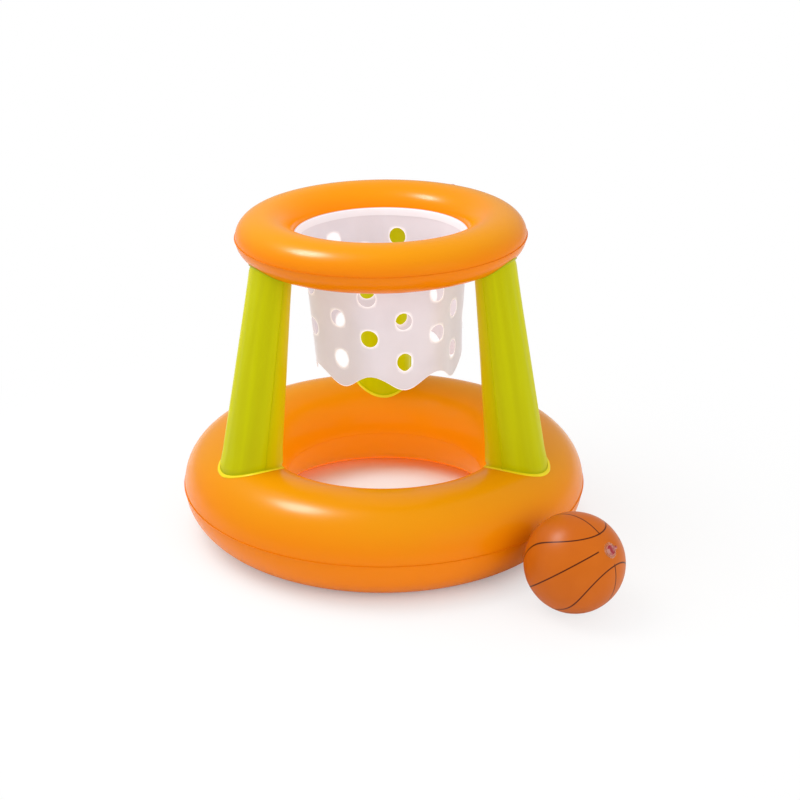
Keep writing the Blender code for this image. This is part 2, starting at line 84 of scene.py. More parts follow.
# Net, as in the frame, with its rows and columns in grid steps of the flat film
NET_TOP_R = 0.1379
NET_TOP_Z = 0.0025
NET_TURN = math.radians(14.2 - 90)
NET_DRAW_IN = 0.0195
NET_LENGTH = 0.2145
NET_COLLAR = 0.0116
NET_SCALLOP, NET_SCALLOP_ROWS = 0.012, 2.67
NET_FLUTE = 0.0045
NET_RIPPLE = 0.0022
NET_SWAY = 0.0095
NET_COLUMNS = 14
NET_CELL = 8
NET_STEPS = NET_COLUMNS * NET_CELL
NET_ROWS = 3 * NET_CELL
NET_COLLAR_ROWS = 2
NET_HEM_ROWS, NET_HEM = 1, 0.15
NET_ROW_HEIGHT = (NET_LENGTH - NET_COLLAR) / NET_ROWS
NET_HOLE_R = 0.014
NET_HOLE_RINGS = (0.35, 0.6, 0.8, 0.93, 1.0)
NET_LINING_INSET, NET_LINING_GAP = 0.0009, 0.0005
NET_WELD_HALF = 0.3

# Ball, as in the frame
BALL_R = 0.0759
BALL_FLAT = 0.0005
BALL_CENTRE = Vector((0.283, -0.31988, BALL_R - BALL_FLAT))
BALL_VALVE_DIRECTION = Vector((0.5952, -0.5688, 0.5677)).normalized()
BALL_BUCKLE = 0.0003
BALL_DIMPLE, BALL_DIMPLE_SPREAD = 0.012, 0.008
BALL_DISC_R = BALL_R * 0.996

# Air valves, as in the frame: azimuth and elevation on a ring in degrees, and outlines as (radius, height)
BASE_VALVE, HOOP_VALVE = (63.75, 33.75), (55.7143, 38.8)
VALVE_HOLE_R, VALVE_HOLE_DEPTH = 0.0054, 0.012
DISC_RADII = (0.0055, 0.0075, 0.0095, 0.0108, 0.0114, 0.012)
DISC_LIFT = 0.0003
DISC_REACH = (-0.004, 0.001)
DISC_BEAD, DISC_BEAD_R, DISC_BEAD_WIDTH = 0.0003, 0.0112, 0.0005
STEM_SEAT = 0.0006
STEM_OUTLINE = ((0.0036, 0.001), (0.0079, 0.001), (0.0084, 0.0007), (0.0085, 0.0003), (0.0082, 0),
                (0.0058, 0), (0.0052, -0.0006), (0.0052, -0.0135), (0.0062, -0.0138), (0.0065, -0.0142),
                (0.0062, -0.015), (0.0036, -0.015))
PLUG_SEAT = STEM_SEAT + 0.0013
PLUG_OUTLINE = ((0, 0.0016), (0.0022, 0.0015), (0.003, 0.0011), (0.0062, 0.0011), (0.0071, 0.0008),
                (0.0072, 0.0003), (0.0068, 0), (0.0034, 0), (0.0033, -0.0004), (0.0033, -0.0068),
                (0.0027, -0.008), (0, -0.008))
PLUG_TAB = (0.0072, 0.0052, 0.0007)
PLUG_TAB_PLACE = (0.0102, 0, PLUG_SEAT + 0.0005)
PLUG_TAB_CORNER = 0.0022

# Studio
FLOOR_HALF, FLOOR_Z = 12, -0.0002
WORLD_ON_THE_OBJECT, WORLD_IN_GLOSS, WORLD_SEEN = 0.8, 0.5, 1.0
LAMPS_AIM = Vector((0, 0, 0.3))
KEY_DIRECTION, KEY_DISTANCE = (-0.512, 0, 0.859), 1.82
CAMERA_PLACE = (0, -2.1656, 1.0803)
CAMERA_YAW, CAMERA_PITCH = 0.0124, 0.3825
CAMERA_SENSOR, CAMERA_LENS = 36, 63.08


# Materials

class Signal:
    """A value in a material. Arithmetic on it adds Math nodes."""

    def __init__(self, finish, socket):
        self.finish = finish
        self.socket = socket

    def math(self, operation, *others):
        return self.finish.node("ShaderNodeMath", {"operation": operation}, dict(enumerate((self, *others))))

    def __add__(self, other):
        return self.math("ADD", other)

    __radd__ = __add__

    def __mul__(self, other):
        return self.math("MULTIPLY", other)

    __rmul__ = __mul__

    def __sub__(self, other):
        return self.math("SUBTRACT", other)

    def __rsub__(self, other):
        return self.finish.node("ShaderNodeMath", {"operation": "SUBTRACT"}, {0: other, 1: self})

    def __truediv__(self, other):
        return self.math("DIVIDE", other)

    def __pow__(self, other):
        return self.math("POWER", other)

    def __abs__(self):
        return self.math("ABSOLUTE")


class Finish:
    """A procedural material round one Principled shader."""

    def __init__(self, name, **constants):
        self.material = bpy.data.materials.new(name)
        self.material.use_nodes = True
        self.tree = self.material.node_tree
        self.shader = self.tree.nodes["Principled BSDF"]
        for socket, value in constants.items():
            self.shader.inputs[socket.replace("_", " ")].default_value = value

    def node(self, kind, settings=None, values=None, out=0):
        """Any node: its settings, then the values or links of its sockets."""
        made = self.tree.nodes.new(kind)
        for name, value in (settings or {}).items():
            setattr(made, name, value)
        for name, value in (values or {}).items():
            if isinstance(value, Signal):
                self.tree.links.new(value.socket, made.inputs[name])
            else:
                made.inputs[name].default_value = value
        return Signal(self, made.outputs[out])

    def at(self, offset=(0, 0, 0), turn=(0, 0, 0), scale=(1, 1, 1)):
        """Object coordinates, moved by minus offset, then turned back and scaled."""
        coordinates = self.node("ShaderNodeTexCoord", out="Object")
        centred = self.node("ShaderNodeVectorMath", {"operation": "SUBTRACT"}, {0: coordinates, 1: offset})
        turned_back = self.node("ShaderNodeMapping", {"vector_type": "TEXTURE"},
                                {"Vector": centred, "Rotation": turn})
        return self.node("ShaderNodeVectorMath", {"operation": "MULTIPLY"}, {0: turned_back, 1: scale})

    def axes(self, vector):
        made = self.node("ShaderNodeSeparateXYZ", values={0: vector})
        return [Signal(self, socket) for socket in made.socket.node.outputs]

    def vector(self, x, y, z):
        return self.node("ShaderNodeCombineXYZ", values={0: x, 1: y, 2: z})

    def dot(self, vector, direction):
        return self.node("ShaderNodeVectorMath", {"operation": "DOT_PRODUCT"},
                         {0: vector, 1: tuple(direction)}, out="Value")

    def grain(self, vector, scale, detail):
        """Noise about 0.5."""
        return self.node("ShaderNodeTexNoise", values={"Vector": vector, "Scale": scale, "Detail": detail})

    def ramp(self, value, low, high, start=0.0, end=1.0):
        """Smooth step from start at low to end at high."""
        return self.node("ShaderNodeMapRange", {"interpolation_type": "SMOOTHSTEP"},
                         {"Value": value, "From Min": low, "From Max": high, "To Min": start, "To Max": end})

    def blend(self, share, first, second):
        """Colours mixed by a share of the second."""
        return self.node("ShaderNodeMix", {"data_type": "RGBA"}, {0: share, 6: first, 7: second}, out=2)

    def attribute(self, name):
        return self.node("ShaderNodeAttribute", {"attribute_name": name}, out="Fac")

    def bump(self, height, distance, strength):
        return self.node("ShaderNodeBump",
                         values={"Height": height, "Distance": distance, "Strength": strength})

    def feed(self, **signals):
        """Links values to the shader's own sockets and gives the finished material."""
        for socket, value in signals.items():
            self.tree.links.new(value.socket, self.shader.inputs[socket.replace("_", " ")])
        return self.material


def colour(red, green, blue):
    """An sRGB colour of 0 to 255 as the linear one that a shader takes."""
    return tuple(v / 12.92 if v <= 0.04045 else ((v + 0.055) / 1.055) ** 2.4
                 for v in (red / 255, green / 255, blue / 255)) + (1.0,)


def ring_vinyl(name, ring, turn=(0, 0, 0), painted_floor_glow=0.0):
    """Glossy orange film with soft puckers along its outer seam, painted yellower on top as painted top
    light.

    It has a faint painted glow all over. In the hole it is painted redder with a stronger painted glow,
    standing in for light that comes through it there. The floor glow setting adds painted deep red shade and
    a painted glow at the hole's foot, where the glow colours the floor.
    """
    made = Finish(name, Specular_IOR_Level=0.14, Emission_Strength=1.0)
    # The yellower top tone is painted top light.
    side_tone, painted_top_light_tone = colour(230, 126, 2), colour(220, 142, 2)
    # Painted light: a redder tone in the hole and a painted glow, faint on the sides and strong in the hole,
    # stand in for light that comes through the film.
    painted_hole_tone, painted_foot_red = colour(236, 122, 6), colour(200, 60, 0)
    painted_side_glow, painted_hole_glow, painted_foot_glow = (0.03, 0.009, 0, 1), (0.19, 0.08, 0, 1), (0.45, 0.1, 0, 1)
    place = made.at(tuple(ring.place.translation), turn)
    x, y, z = made.axes(place)
    radius = (x * x + y * y) ** 0.5
    # Both run from -1 to 1 over the tube's section
    up = z / ring.half_height
    out = (radius - ring.radius) / ring.half_width
    # Where the hole's wall meets the floor: painted deep red shade and a painted glow that lights the floor
    # there.
    painted_foot_mask = made.ramp(up, -0.6, -0.92) * made.ramp(out, 0.0, -0.3) * painted_floor_glow
    mottle = made.grain(place, 11, 3)
    # Painted top light: yellower towards the top.
    tone = made.blend(made.ramp(up + (mottle - 0.5) * 0.3, 0.0, 1.0), side_tone, painted_top_light_tone)
    tone = made.blend(made.ramp(out - up * 0.3, -0.2, -1.1) * 0.5, tone, painted_hole_tone)
    tone = made.blend(painted_foot_mask * 0.6, tone, painted_foot_red)
    # Painted glow: faint on the sides, stronger in the hole.
    glow = made.blend(made.ramp(out + up * 0.3, 0.1, -1.1), painted_side_glow, painted_hole_glow)
    glow = made.blend(painted_foot_mask, glow, painted_foot_glow)
    near_seam = made.ramp(abs(up), 0.0, 0.45, 1, 0) * made.ramp(out, 0.2, 0.8)
    puckers = made.grain(made.vector(x / radius, y / radius, z * 3), 22, 2) * near_seam
    height = puckers * 0.9 + made.grain(place, 420, 2) * 0.03 + made.grain(place, 7, 1) * 0.5
    return made.feed(Base_Color=tone, Emission_Color=glow, Normal=made.bump(height, 0.0012, 0.45),
                     Roughness=0.2 + made.grain(place, 30, 4) * 0.08)


def leg_vinyl(name, painted_glow_level=0.11):
    """Lime film with a few soft folds along the leg, painted a little lighter along them as a painted sheen,
    and painted shade in the crease at its foot.

    Where it faces the middle it is painted warmer, a painted orange reflection from the rings, and its outer
    side has a painted pale sheen. The glow level sets a painted glow all over, stronger where it faces the
    middle, standing in for light that comes through it from behind.
    """
    made = Finish(name, Specular_IOR_Level=0.07, Emission_Strength=1.0)
    # The lighter lime along the folds is a painted sheen.
    lime, fold_sheen_lime = colour(163, 161, 0), colour(172, 172, 0)
    # Painted light: a warmer painted orange reflection from the rings, a paler painted sheen at the outer
    # side and darker painted shade for the foot crease.
    painted_bounce_tone, painted_outer_sheen_tone, painted_crease_shade = colour(196, 168, 0), colour(220, 214, 20), colour(132, 134, 0)
    painted_inner_glow = (0.22, 0.14, 0, 1)
    place = made.at()
    across, above, inward = (made.attribute(each) for each in ("across", "above", "inward"))
    folds = made.grain(made.vector(across * 1.6, above * 0.9, inward * 0.8), 2.2, 2)
    mottle = made.grain(place, 26, 3)
    tone = made.blend(made.ramp(folds + (mottle - 0.5) * 0.12, 0.3, 0.7), lime, fold_sheen_lime)
    # Painted orange reflection where the leg faces the middle, then a painted pale sheen at its outer side.
    tone = made.blend(made.ramp(inward, 0.35, 1.0) * 0.5, tone, painted_bounce_tone)
    tone = made.blend(made.ramp(inward, -0.85, -1.0) * 0.3, tone, painted_outer_sheen_tone)
    # Painted shade in the crease just above the foot.
    tone = made.blend(made.ramp(above, 0.001, 0.009, 1, 0) * 0.6, tone, painted_crease_shade)
    # Painted glow, stronger where the leg faces the middle.
    glow = made.blend(made.ramp(inward, 0.2, 1.0), (painted_glow_level, painted_glow_level, 0, 1), painted_inner_glow)
    puckers = made.grain(made.vector(across * 7, above * 7, 0.0), 5, 2) * made.ramp(above, 0.0, 0.1, 1, 0)
    height = folds * 0.9 + made.grain(place, 400, 2) * 0.04 + puckers * 0.5
    return made.feed(Base_Color=tone, Emission_Color=glow, Normal=made.bump(height, 0.0011, 0.5),
                     Roughness=0.3 + mottle * 0.1)


def rim_vinyl(name):
    """The welded edge of the lime film, where it lies doubled on the orange."""
    made = Finish(name, Roughness=0.3, Specular_IOR_Level=0.25)
    yellow, pale_yellow = colour(232, 208, 8), colour(240, 226, 30)
    place = made.at()
    tone = made.blend(made.ramp(made.grain(place, 24, 2), 0.35, 0.65), yellow, pale_yellow)
    return made.feed(Base_Color=tone, Normal=made.bump(made.grain(place, 300, 2), 0.0004, 0.5))


def net_vinyl(name, whiteness=0.0):
    """Frosted film: milky, a little clear, brighter along its cut edges, with a painted glow all over that is
    stronger along those edges.
    """
    made = Finish(name, IOR=1.45, Emission_Strength=1.0)
    milky, pale_milky = colour(182, 170, 174), colour(190, 179, 183)
    edge_tone, doubled_tone = colour(254, 250, 248), colour(254, 252, 251)
    # Painted glow all over the film, stronger along its cut edges.
    painted_film_glow, painted_edge_glow = (0.31, 0.305, 0.315, 1), (0.39, 0.38, 0.38, 1)
    place = made.at()
    edge = made.attribute("edge")
    clouds = made.grain(place, 14, 3)
    tone = made.blend(made.ramp(clouds, 0.3, 0.7), milky, pale_milky)
    tone = made.blend(edge * 0.6, tone, edge_tone)
    if whiteness:
        tone = made.blend(whiteness, tone, doubled_tone)
    height = made.grain(made.at(scale=(1, 1, 0.3)), 20, 2) * 1.3 + made.grain(place, 260, 3) * 0.07
    return made.feed(Base_Color=tone, Emission_Color=made.blend(edge, painted_film_glow, painted_edge_glow),
                     Alpha=0.88 + edge * 0.1 + clouds * 0.04, Normal=made.bump(height, 0.0012, 0.6),
                     Roughness=0.32 + clouds * 0.12)


def clear_vinyl(name, tint, alpha):
    """Clear soft film and stoppers, faintly pink where it is thick."""
    made = Finish(name, Roughness=0.22, Specular_IOR_Level=0.3)
    pink = colour(226, 178, 160)
    place = made.at()
    cloud = made.grain(place, 90, 3)
    tone = made.blend(made.ramp(cloud, 0.4, 0.6) * 0.6, colour(*tint), pink)
    return made.feed(Base_Color=tone, Alpha=alpha + cloud * 0.12,
                     Normal=made.bump(made.grain(place, 300, 2), 0.0004, 0.4))


def ball_vinyl(name):
    """Tan-orange film with the printed lines of a basketball, broken off round the valve."""
    made = Finish(name, Specular_IOR_Level=0.17)
    tan, pale_tan, print_brown = colour(190, 92, 8), colour(203, 104, 16), colour(70, 22, 0)
    directions = (0.547, -0.547, 0.634), (0.707, 0.707, 0), (-0.466, 0.431, 0.773)
    front, across, top = (Vector(direction).normalized() for direction in directions)
    past_valve = Matrix.Rotation(math.radians(8), 3, top) @ BALL_VALVE_DIRECTION
    place = made.at(tuple(BALL_CENTRE))

    def along(direction):
        """How far a point lies along a direction, in radii."""
        return made.dot(place, direction) / BALL_R

    def line(distance):
        return made.ramp(distance, 0.009, 0.018, 1, 0)

    u, v, w = along(front), along(across), along(top)
    # 1 at the front and back, -1 at the sides, so that the curved lines bow twice on their way round
    bow = 2 * u * u / (u * u + v * v + 0.0001) - 1
    upper = line(abs(w - 0.484 + bow * 0.196))
    lower = line(abs(w + 0.53 - bow * 0.15))
    middle = line(abs(w)) * made.ramp(along(past_valve), 0.905, 0.915, 1, 0)
    outside_curves = made.ramp(w, 0.25, 0.3) + made.ramp(w, -0.38, -0.33, 1, 0)
    behind = made.ramp(u, 0.0, 0.02, 1, 0)
    crossing = line(abs(v)) * (outside_curves + behind).math("MINIMUM", 1.0)
    lines = (upper + lower + middle + crossing).math("MINIMUM", 1.0)
    mottle = made.grain(place, 22, 3)
    tone = made.blend(lines * 0.95, made.blend(mottle, tan, pale_tan), print_brown)
    height = made.grain(place, 260, 3) * 0.12 + made.grain(place, 18, 2) * 0.6
    return made.feed(Base_Color=tone, Normal=made.bump(height, 0.001, 0.5), Roughness=0.34 + mottle * 0.1)


# Mesh helpers

def show(name, node, bm, material, body="hoop", sharp=40):
    """A finished piece of the object, at the origin, riding on a body of the frame in place of a node."""
    mesh = bpy.data.meshes.new(name)
    bm.to_mesh(mesh)
    bm.free()
    mesh.materials.append(material)
    mesh.shade_smooth()
    mesh.set_sharp_from_angle(angle=math.radians(sharp))
    made = bpy.data.objects.new(name, mesh)
    bpy.context.scene.collection.objects.link(made)
    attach(made, body)
    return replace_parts(made, node)


def turned(points, steps, closed=True):
    """A profile of (radius, height) spun once about Z."""
    bm = bmesh.new()
    verts = [bm.verts.new((radius, 0, height)) for radius, height in points]
    edges = [bm.edges.new(pair) for pair in zip(verts, verts[1:] + verts[:1] * closed)]
    bmesh.ops.spin(bm, geom=verts + edges, cent=(0, 0, 0), axis=(0, 0, 1), angle=math.tau, steps=steps,
                   use_merge=True)
    bmesh.ops.remove_doubles(bm, verts=bm.verts, dist=MERGE)
    bmesh.ops.recalc_face_normals(bm, faces=bm.faces)
    return bm


def wall(bm):
    """Gives an open sheet the film's wall on its inner side."""
    bmesh.ops.recalc_face_normals(bm, faces=bm.faces)
    bmesh.ops.solidify(bm, geom=bm.faces, thickness=FILM)


def cut(obj, cutter_bm):
    """Takes a cutter's shape out of a piece for good."""
    mesh = bpy.data.meshes.new("cutter")
    cutter_bm.to_mesh(mesh)
    cutter_bm.free()
    cutter = bpy.data.objects.new("cutter", mesh)
    bpy.context.scene.collection.objects.link(cutter)
    step = obj.modifiers.new("Hole", "BOOLEAN")
    step.operation, step.solver, step.object = "DIFFERENCE", "EXACT", cutter
    bpy.context.view_layer.update()
    made = bpy.data.meshes.new_from_object(obj.evaluated_get(bpy.context.evaluated_depsgraph_get()))
    obj.modifiers.remove(step)
    obj.data = made
    bpy.data.objects.remove(cutter)


def offset_path(points, distance):
    """An open path moved to its left, with mitred corners."""
    pairs = list(zip(points, points[1:]))
    normals = [Vector((-(z1 - z0), r1 - r0)).normalized() for (r0, z0), (r1, z1) in pairs]
    moved = []
    for index, point in enumerate(points):
        before, after = normals[max(index - 1, 0)], normals[min(index, len(normals) - 1)]
        middle = (before + after).normalized()
        moved.append(tuple(Vector(point) + middle * (distance / middle.dot(before))))
    return moved


def frame_on(point, normal, side=Vector((0, 1, 0))):
    """Frame at a point with X along side and Z along normal."""
    return Matrix.Translation(point) @ Matrix((side, normal.cross(side), normal)).transposed().to_4x4()


# Rings

def tube_arc(ring, side, flat):
    """Half of a ring's tube as (radius, height) from its middle, from the hole's seam to the outer one."""
    rise = ring.half_height - SEAM_LIFT
    points = []
    for step in range(RING_SECTION_STEPS + 1):
        angle = math.pi * (1 - step / RING_SECTION_STEPS)
        height = min(SEAM_LIFT + rise * math.sin(angle), ring.half_height - flat)
        points.append((ring.radius + ring.half_width * math.cos(angle), side * height))
    return points


def ring_skin(name, node, ring, side, material, flat=0.0):
    """One welded half of a ring's skin, with its lips at both seams."""
    arc = tube_arc(ring, side, flat)
    path = [(arc[0][0] - SEAM_LIP / 3, arc[0][1]), *arc, (arc[-1][0] + SEAM_LIP, arc[-1][1])]
    path = path if side > 0 else path[::-1]
    bm = turned(path + offset_path(path, -FILM)[::-1], RING_STEPS)
    bmesh.ops.transform(bm, matrix=ring.place, verts=bm.verts)
    return show(name, node, bm, material)


def on_ring(ring, azimuth, elevation):
    """Frame on a ring's skin with Z outwards and X level."""
    middle = Vector((ring.radius + ring.half_width * math.cos(elevation), 0,
                     ring.half_height * math.sin(elevation)))
    normal = Vector((math.cos(elevation) / ring.half_width, 0, math.sin(elevation) / ring.half_height))
    return ring.place @ Matrix.Rotation(azimuth, 4, "Z") @ frame_on(middle, normal.normalized())


def outside(ring, point):
    """Above 0 where a point is outside a ring's skin, 0 on it."""
    x, y, z = ring.place.inverted() @ point
    return ((math.hypot(x, y) - ring.radius) / ring.half_width) ** 2 + (z / ring.half_height) ** 2 - 1


# Legs

def leg_point(turn, height, grow=0.0):
    """A point of a leg's skin at an angle round it, 0 outwards, in the leg's own frame."""
    share = (height - LEG_FOOT_Z) / (LEG_HEAD_Z - LEG_FOOT_Z)
    flare = LEG_FLARE * min(1.0, max(0.0, 1 - (height - LEG_FOOT_Z) / LEG_FLARE_HEIGHT)) ** 1.5
    middle, depth, width = (foot + (head - foot) * share for foot, head in zip(LEG_FOOT, LEG_HEAD))
    grow += flare
    return Vector((middle + (depth + grow) * math.cos(turn), (width + grow) * math.sin(turn), height))


def leg_end(end, place, turn, grow):
    """Height at which a line up a leg's skin comes out of the ring at that end, found by halving."""
    ring, inside, clear, _ = LEG_ENDS[end]
    for _ in range(30):
        middle = (inside + clear) / 2
        if outside(ring, place @ leg_point(turn, middle, grow)) < 0:
            inside = middle
        else:
            clear = middle
    return clear


def dip(distance, depth, place, width):
    """The height of a smooth crease at a distance from a leg's end."""
    return -depth * math.exp(-((distance - place) / width) ** 2)


def leg_buckle(side, turn, height):
    """How far a leg's skin swells or sinks at a point.

    The length of the leg's name shifts the noise, so that the right leg buckles in its own way.
    """
    x, y = math.cos(turn), math.sin(turn)
    broad = noise.noise(Vector((x * 2.4, y * 2.4 + len(side), height * 3))) * LEG_BUCKLE
    return broad + noise.noise(Vector((x * 5, y * 5, height * 6 + len(side)))) * LEG_FINE_BUCKLE


def leg_panel(side, place, facing, material):
    """Half of a leg's skin: a lip at each seam, a crease at both ends and soft buckles along it."""
    columns, rows, crowding = 52, 60, 0.064
    bm = bmesh.new()
    across, above, inward = (bm.verts.layers.float.new(each) for each in ("across", "above", "inward"))
    # Away from the middle as seen from the front, where the back leg has no such side
    outer = Vector(((place @ Vector((1, 0, 0))).x, 0, 0)).normalized() if side != "back" else Vector()
    bmesh.ops.create_grid(bm, x_segments=columns, y_segments=rows, size=1)
    for vert in bm.verts:
        column = round((vert.co.x + 1) / 2 * columns)
        share = (vert.co.y + 1) / 2
        # Rows are closer at both ends, for the creases
        share -= crowding * math.sin(math.tau * share)
        lip = (column == columns) - (column == 0)
        inner = min(max(column - 1, 0), columns - 2) / (columns - 2)
        turn = math.pi * (inner - 0.5) + (0 if facing > 0 else math.pi)
        low, high = (leg_end(end, place, turn, LEG_END_GAP) for end in ("foot", "head"))
        height = low + (high - low) * share
        rise, drop = height - low, high - height
        crease = dip(rise, *FOOT_CREASE) + dip(drop, *HEAD_CREASE)
        clear_of_ends = min(1.0, min(rise, drop) / LEG_BUCKLE_FADE)
        point = leg_point(turn, height, leg_buckle(side, turn, height) * clear_of_ends + crease)
        point.x += facing * SEAM_LIFT
        point.y += facing * lip * SEAM_LIP
        vert.co = place @ point
        vert[across] = 2 * inner - 1
        vert[above] = rise
        vert[inward] = -outer.dot(place @ Vector((math.cos(turn), math.sin(turn), 0)))
    wall(bm)
    name, node = ("front_skin", "outer_panel") if facing > 0 else ("rear_skin", "inner_panel")
    return show(f"{side}_leg_{name}", f"{side}_leg_{node}", bm, material)


def leg_rim(side, place, end, material):
    """The film's welded edge, lying on a ring all round a leg's end and rounded at its outer side."""
    columns, rows = 120, 8
    ring, wide = LEG_ENDS[end].ring, LEG_ENDS[end].rim
    bm = bmesh.new()
    bmesh.ops.create_grid(bm, x_segments=columns, y_segments=rows, size=1)
    for vert in bm.verts:
        turn = math.pi * (vert.co.x + 1)
        share = (vert.co.y + 1) / 2
        grow = -RIM_TUCK + (wide + RIM_TUCK) * share
        wave = 1 + RIM_WAVE * noise.noise(Vector((math.cos(turn) * 3, math.sin(turn) * 3, len(side))))
        grow *= wave if grow > 0 else 1
        point = place @ leg_point(turn, leg_end(end, place, turn, grow), grow)
        local = ring.place.inverted() @ point
        around = Vector((local.x, local.y, 0)).normalized()
        normal = around * ((math.hypot(local.x, local.y) - ring.radius) / ring.half_width ** 2)
        normal = (normal + Vector((0, 0, local.z / ring.half_height ** 2))).normalized()
        lift = FILM + RIM_HEIGHT * math.sqrt(max(0.0, 1 - share ** 6))
        vert.co = ring.place @ (local + normal * lift)
    bmesh.ops.remove_doubles(bm, verts=bm.verts, dist=MERGE)
    wall(bm)
    return show(f"{side}_leg_{end}_weld", f"{side}_leg_{end}_patch", bm, material)


# Net

def net_wave(steps):
    """1 and -1 by turns at the middles of the columns of holes."""
    return math.cos(math.pi * (steps / NET_CELL - 0.5))


def net_point(steps, drop, inset=0.0):
    """A point of the net's outer face: the top follows the ring, the rest hangs and sways a little."""
    angle = NET_TURN + math.tau * (steps / NET_STEPS - 0.5 / NET_COLUMNS)
    fall = min(max(drop / NET_LENGTH, 0.0), 1.0)
    flute = NET_FLUTE * net_wave(steps) * math.sin(math.pi * min(fall, 0.5))
    ripple = noise.noise(Vector((math.cos(angle) * 2.2, math.sin(angle) * 2.2, drop * 9))) * NET_RIPPLE
    radius = NET_TOP_R - NET_DRAW_IN * math.sqrt(fall) - flute - inset
    radius += ripple * min(1.0, fall * 3)
    straight = Vector((radius * math.cos(angle) + NET_SWAY * fall, radius * math.sin(angle),
                       NET_TOP_Z - drop))
    return HOOP_CENTRE + HOOP_TILT @ straight * (1 - fall) ** 2 + straight * (1 - (1 - fall) ** 2)


def punch(bm, edge, x, y):
    """A round hole in the cell about a point of the flat film, with rings of faces round it."""
    half = NET_CELL / 2
    pitch = math.tau * (NET_TOP_R - NET_DRAW_IN / 2) / NET_STEPS
    cell = [face for face in bm.faces if abs(face.calc_center_median().x - x) < half
            and abs(face.calc_center_median().y - y) < half]
    hole = bmesh.ops.dissolve_faces(bm, faces=cell)["region"][0]
    border = [vert.co.copy() for vert in hole.verts]
    order = sorted(range(len(border)), key=lambda n: math.atan2(border[n].y - y, border[n].x - x))
    corner = next(turn for turn, n in enumerate(order) if border[n].x - x == half and border[n].y - y == half)
    rim = {}
    for turn, n in enumerate(order):
        angle = math.pi / 4 + (turn - corner) * math.tau / len(order)
        rim[n] = Vector((x + math.cos(angle) * NET_HOLE_R / pitch,
                         y + math.sin(angle) * NET_HOLE_R / NET_ROW_HEIGHT, 0))
    for share in NET_HOLE_RINGS:
        before = [vert.co.copy() for vert in hole.verts]
        bmesh.ops.inset_individual(bm, faces=[hole], thickness=0.01)
        for vert in hole.verts:
            nearest = min(range(len(before)), key=lambda n: (before[n] - vert.co).length)
            vert.co = border[nearest].lerp(rim[nearest], share)
            vert[edge] = max(0.0, (share - 0.88) / 0.12)
    bmesh.ops.delete(bm, geom=[hole], context="FACES_ONLY")


def net_flat():
    """The flat punched film in grid steps, with how near each point is to an edge."""
    bm = bmesh.new()
    edge = bm.verts.layers.float.new("edge")
    rows = NET_ROWS + NET_COLLAR_ROWS + NET_HEM_ROWS
    bmesh.ops.create_grid(bm, x_segments=NET_STEPS, y_segments=rows, size=1)
    for vert in bm.verts:
        row = round((vert.co.y + 1) / 2 * rows) - NET_HEM_ROWS
        vert.co = (round((vert.co.x + 1) / 2 * NET_STEPS), row, 0)
        vert[edge] = 1.0 if row == -NET_HEM_ROWS else 0.0
    for column in range(NET_COLUMNS):
        staggered = column % 2
        first = round(NET_CELL * 2 / 3) * staggered
        for row in range(3 - staggered):
            punch(bm, edge, (column + 0.5) * NET_CELL, first + (row + 0.5) * NET_CELL)
    return bm


def net_film(material):
    """The film rolled into a sleeve, its hem scalloped and its ends welded, and its outer face's area."""
    bm = net_flat()
    for vert in bm.verts:
        steps, up = vert.co.x, max(vert.co.y, -NET_HEM)
        if up > NET_ROWS:
            drop = NET_COLLAR * (1 - (up - NET_ROWS) / NET_COLLAR_ROWS)
        else:
            scallop = NET_SCALLOP * net_wave(steps) * max(0.0, 1 - up / NET_SCALLOP_ROWS)
            drop = NET_COLLAR + (NET_ROWS - up) * NET_ROW_HEIGHT + scallop
        vert.co = net_point(steps, drop)
    bmesh.ops.remove_doubles(bm, verts=bm.verts, dist=MERGE)
    area = sum(face.calc_area() for face in bm.faces)
    wall(bm)
    return show("net_sleeve", "net_film", bm, material, sharp=60), area


def net_lining(name, node, material, steps, drops, columns, top_edge=0.0):
    """A strip of doubled film inside the net, between two places round it and two drops."""
    bm = bmesh.new()
    edge = bm.verts.layers.float.new("edge")
    bmesh.ops.create_grid(bm, x_segments=columns, y_segments=8, size=1)
    for vert in bm.verts:
        along, down = (vert.co.x + 1) / 2, (1 - vert.co.y) / 2
        vert[edge] = top_edge if down == 0.0 else 0.0
        vert.co = net_point(steps[0] + (steps[1] - steps[0]) * along, drops[0] + (drops[1] - drops[0]) * down,
                            NET_LINING_INSET)
    bmesh.ops.remove_doubles(bm, verts=bm.verts, dist=MERGE)
    wall(bm)
    return show(name, node, bm, material)


# Ball

def ball_skin(material):
    """The ball's skin, flat where it rests, dimpled a little round its valve."""
    steps = 64
    angles = [math.pi * step / steps for step in range(steps + 1)]
    bm = turned([(BALL_R * math.sin(angle), BALL_R * math.cos(angle)) for angle in angles], 96, closed=False)
    for vert in bm.verts:
        near = 1 - vert.co.normalized().dot(BALL_VALVE_DIRECTION)
        buckle = noise.noise(vert.co * 30) * BALL_BUCKLE
        vert.co *= 1 - BALL_DIMPLE * math.exp(-near / BALL_DIMPLE_SPREAD) + buckle / BALL_R
        vert.co.z = max(vert.co.z, BALL_FLAT - BALL_R)
    bmesh.ops.translate(bm, vec=BALL_CENTRE, verts=bm.verts)
    wall(bm)
    return show("ball_film", "ball_skin", bm, material, "ball", 60)


# Air valves, each on a frame with Z outwards

def skin_height(is_outside, place, x, y):
    """Height of a skin over a point of a valve's frame, found by halving."""
    low, high = DISC_REACH
    for _ in range(24):
        middle = (high + low) / 2
        if is_outside(place @ Vector((x, y, middle))):
            high = middle
        else:
            low = middle
    return high


